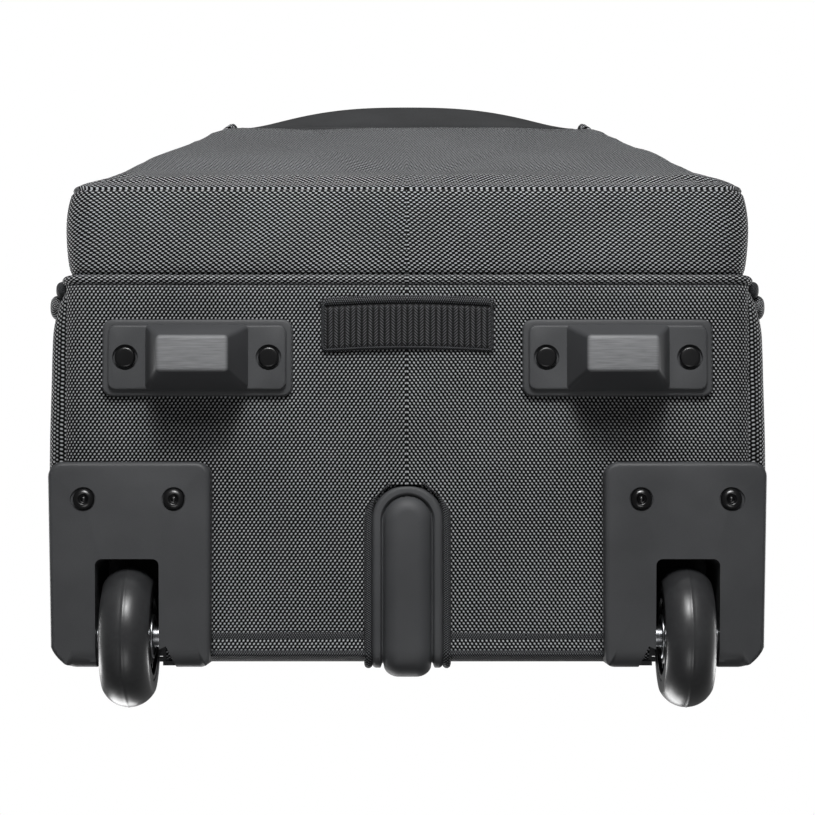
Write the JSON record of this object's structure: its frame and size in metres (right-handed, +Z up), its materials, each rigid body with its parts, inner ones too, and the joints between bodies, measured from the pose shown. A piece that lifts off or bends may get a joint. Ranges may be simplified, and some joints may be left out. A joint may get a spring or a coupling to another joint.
{
  "type": "rolling laptop case",
  "caption": "Upright rolling laptop case: soft fabric body on inline wheels and bridge feet, telescopic pull handle, zipped clamshell cover and front pocket.",
  "frame": {"origin": "on the ground, under the middle of the case's overall width and depth", "axes": "+Z up, -Y to the front pocket, +Y to the pull handle and wheels, +X to the case's right seen from behind"},
  "size_m": [0.3568, 0.3345, 0.4926],
  "materials": {
    "shell_fabric": "black ballistic nylon, coarse basket weave",
    "lining": "grey woven polyester lining",
    "binding": "black woven binding tape",
    "webbing": "black ribbed nylon webbing",
    "zip_tape": "black coil zip on woven tape",
    "smooth_skin": "dark grey grained soft-touch panel",
    "housing_plastic": "dark grey moulded plastic with a fine spark texture",
    "black_plastic": "black moulded plastic",
    "button_plastic": "grey satin plastic",
    "grip_soft": "black soft-touch rubber",
    "puller_rubber": "dark moulded rubber",
    "black_screw": "gloss black oxide",
    "axle_steel": "zinc-plated steel",
    "spring_steel": "coated spring steel",
    "tube_aluminium": "anodised, satin",
    "zip_metal": "black nickel",
    "tyre_pu": "black polyurethane, satin gloss",
    "hub_plastic": "dark grey nylon"
  },
  "bodies": {
    "case": {"bottom_panel": "shell_fabric", "side_panel_left": "shell_fabric", "side_panel_right": "shell_fabric", "top_panel": "shell_fabric", "back_panel": "shell_fabric", "base_tray": "black_plastic", "frame_hoop": "spring_steel", "rear_piping": "binding", "main_zip": "zip_tape", "zip_garages": "binding", "wheel_housing_left": "housing_plastic", "wheel_housing_right": "housing_plastic", "housing_screws": "black_screw", "axles": "axle_steel", "axle_spacers": "axle_steel", "foot_left": "housing_plastic", "foot_right": "housing_plastic", "foot_rivets": "black_screw", "skid_guard": "housing_plastic", "skid_welt": "binding", "grab_strap": "webbing", "grab_strap_binding": "binding", "outer_tubes": "tube_aluminium", "tube_sockets": "black_plastic", "handle_dock": "black_plastic", "back_board": "black_plastic", "laptop_sleeve": "lining", "handle_anchors": "black_plastic"},
    "wheel_left": {"tyre_left": "tyre_pu", "hub_left": "hub_plastic", "bearings_left": "axle_steel"},
    "wheel_right": {"tyre_right": "tyre_pu", "hub_right": "hub_plastic", "bearings_right": "axle_steel"},
    "pull_mid": {"mid_tubes": "tube_aluminium"},
    "pull_upper": {"inner_tubes": "tube_aluminium", "grip_base": "black_plastic", "grip_shell": "grip_soft"},
    "release": {"release_button": "button_plastic", "push_rods": "axle_steel"},
    "carry": {"carry_handle": "webbing"},
    "cover": {"gusset_bottom": "shell_fabric", "gusset_left": "shell_fabric", "gusset_right": "shell_fabric", "gusset_top": "shell_fabric", "cover_panel": "lining", "cover_roll": "shell_fabric", "organiser_pocket": "lining", "pocket_zip": "zip_tape"},
    "flap": {"front_panel": "shell_fabric", "smooth_panel": "smooth_skin", "panel_lips": "shell_fabric"},
    "main_slide_left": {"main_slider_left": "zip_metal"},
    "main_pull_left": {"main_puller_left": "puller_rubber"},
    "main_slide_right": {"main_slider_right": "zip_metal"},
    "main_pull_right": {"main_puller_right": "puller_rubber"},
    "pocket_slide_left": {"pocket_slider_left": "zip_metal"},
    "pocket_pull_left": {"pocket_puller_left": "puller_rubber"},
    "pocket_slide_right": {"pocket_slider_right": "zip_metal"},
    "pocket_pull_right": {"pocket_puller_right": "puller_rubber"}
  },
  "joints": [
    {"name": "wheel_left_spin", "type": "hinge", "parent": "case", "child": "wheel_left", "pos_m": [-0.1381, 0.13225, 0.035], "axis": [1, 0, 0], "continuous": true},
    {"name": "wheel_right_spin", "type": "hinge", "parent": "case", "child": "wheel_right", "pos_m": [0.1381, 0.13225, 0.035], "axis": [1, 0, 0], "continuous": true},
    {"name": "pull_lower_stage", "type": "slide", "parent": "case", "child": "pull_mid", "axis": [0, 0, 1], "range_m": [0, 0.27]},
    {"name": "pull_upper_stage", "type": "slide", "parent": "pull_mid", "child": "pull_upper", "axis": [0, 0, 1], "range_m": [0, 0.27]},
    {"name": "release_press", "type": "slide", "parent": "pull_upper", "child": "release", "axis": [0, 0, -1], "range_m": [0, 0.004], "stiffness_N_per_m": 600, "springref_m": -0.003},
    {"name": "carry_handle_fold", "type": "hinge", "parent": "case", "child": "carry", "pos_m": [0, 0.08275, 0.472], "axis": [-1, 0, 0], "range_deg": [0, 100]},
    {"name": "cover_open", "type": "hinge", "parent": "case", "child": "cover", "pos_m": [0, -0.04325, 0.034], "axis": [1, 0, 0], "range_deg": [0, 110]},
    {"name": "flap_open", "type": "hinge", "parent": "cover", "child": "flap", "pos_m": [0, -0.09505, 0.038], "axis": [1, 0, 0], "range_deg": [0, 75]},
    {"name": "main_zip_left", "type": "slide", "parent": "case", "child": "main_slide_left", "axis": [-1, 0, 0], "range_m": [0, 0.1]},
    {"name": "main_pull_left_flip", "type": "hinge", "parent": "main_slide_left", "child": "main_pull_left", "pos_m": [-0.008, -0.04175, 0.4697], "axis": [0, 1, 0], "range_deg": [0, 110]},
    {"name": "main_zip_right", "type": "slide", "parent": "case", "child": "main_slide_right", "axis": [1, 0, 0], "range_m": [0, 0.1]},
    {"name": "main_pull_right_flip", "type": "hinge", "parent": "main_slide_right", "child": "main_pull_right", "pos_m": [0.008, -0.04175, 0.4697], "axis": [0, -1, 0], "range_deg": [0, 110]},
    {"name": "pocket_zip_left", "type": "slide", "parent": "cover", "child": "pocket_slide_left", "axis": [-1, 0, 0], "range_m": [0, 0.1]},
    {"name": "pocket_pull_left_flip", "type": "hinge", "parent": "pocket_slide_left", "child": "pocket_pull_left", "pos_m": [-0.008, -0.09345, 0.4657], "axis": [0, 1, 0], "range_deg": [0, 110]},
    {"name": "pocket_zip_right", "type": "slide", "parent": "cover", "child": "pocket_slide_right", "axis": [1, 0, 0], "range_m": [0, 0.1]},
    {"name": "pocket_pull_right_flip", "type": "hinge", "parent": "pocket_slide_right", "child": "pocket_pull_right", "pos_m": [0.008, -0.09345, 0.4657], "axis": [0, -1, 0], "range_deg": [0, 110]}
  ]
}
